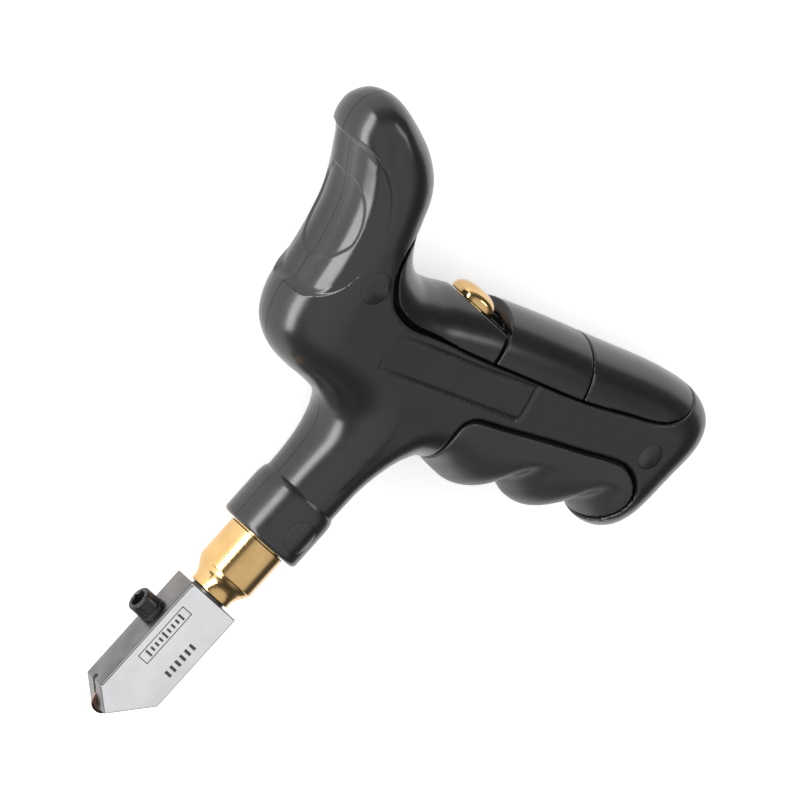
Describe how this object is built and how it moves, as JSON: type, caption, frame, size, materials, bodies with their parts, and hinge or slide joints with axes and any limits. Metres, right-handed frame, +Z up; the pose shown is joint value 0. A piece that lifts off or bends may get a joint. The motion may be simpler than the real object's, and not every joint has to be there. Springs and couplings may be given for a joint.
{
  "type": "pistol grip glass cutter",
  "caption": "Oil-fed glass cutter with a moulded side grip, a thumb horn, a brass oil filler and ferrule, and a swivelling steel head that holds a small cutting wheel.",
  "frame": {"origin": "on the neck's axis, in the flat side of the handle that the tool lies on", "axes": "+Y along the neck, away from the cutting wheel; +X towards the end of the grip; +Z up, across the handle's thickness"},
  "size_m": [0.155, 0.1539, 0.026],
  "materials": {
    "handle_plastic": "satin black moulded plastic",
    "pad_plastic": "smooth satin black plastic",
    "seal_rubber": "matt black rubber",
    "brass": "bright turned brass",
    "plain_steel": "plain turned steel",
    "bright_head_metal": "bright ground steel",
    "black_oxide_steel": "black oxide",
    "wheel_carbide": "dark ground carbide"
  },
  "bodies": {
    "handle": {"handle_shell_front": "handle_plastic", "handle_shell_back": "handle_plastic", "palm_pad_front": "pad_plastic", "palm_pad_middle": "pad_plastic", "palm_pad_rear": "pad_plastic", "finger_grip": "pad_plastic", "horn_screw_plug": "handle_plastic", "grip_screw_plug": "handle_plastic", "collar_plug": "handle_plastic", "horn_screw": "plain_steel", "grip_screw": "plain_steel", "ferrule_set_screw": "plain_steel", "reservoir_tube": "brass", "tube_bush": "seal_rubber", "brass_ferrule": "brass", "valve_seat": "plain_steel", "valve_spring": "plain_steel", "shank_seal": "seal_rubber"},
    "cap_seal": {"filler_cap_seal": "seal_rubber"},
    "cap": {"filler_cap": "brass"},
    "press": {"head_shank": "plain_steel", "valve_plunger": "plain_steel"},
    "head": {"cutter_head": "bright_head_metal", "wheel_axle": "plain_steel"},
    "wheel": {"cutting_wheel": "wheel_carbide"},
    "lock_washer": {"lock_screw_washer": "black_oxide_steel"},
    "lock": {"lock_screw": "black_oxide_steel"}
  },
  "joints": [
    {"name": "cap_lift", "type": "slide", "parent": "handle", "child": "cap_seal", "axis": [0, 1, 0], "range_m": [0, 0.004]},
    {"name": "cap_turn", "type": "hinge", "parent": "cap_seal", "child": "cap", "pos_m": [0, 0.0254, 0.013], "axis": [0, 1, 0], "range_deg": [0, 1440]},
    {"name": "head_press", "type": "slide", "parent": "handle", "child": "press", "axis": [0, 1, 0], "range_m": [0, 0.0006], "stiffness_N_per_m": 1500, "springref_m": -0.002, "deforming": ["valve_spring"]},
    {"name": "head_swivel", "type": "hinge", "parent": "press", "child": "head", "pos_m": [0, -0.0713, 0.013], "axis": [0, 1, 0], "continuous": true},
    {"name": "wheel_spin", "type": "hinge", "parent": "head", "child": "wheel", "pos_m": [-0.00153, -0.106, 0.01252], "axis": [-0.3007, 0, 0.9537], "continuous": true},
    {"name": "lock_back_off", "type": "slide", "parent": "head", "child": "lock_washer", "axis": [-0.9537, 0, -0.3007], "range_m": [0, 0.003]},
    {"name": "lock_turn", "type": "hinge", "parent": "lock_washer", "child": "lock", "pos_m": [-0.00839, -0.0825, 0.01035], "axis": [-0.9537, 0, -0.3007], "range_deg": [0, 1543]}
  ],
  "couplings": [
    {"joint": "cap_turn", "follows": "cap_lift", "rad_per_m": 6283},
    {"joint": "lock_turn", "follows": "lock_back_off", "rad_per_m": 8975}
  ]
}
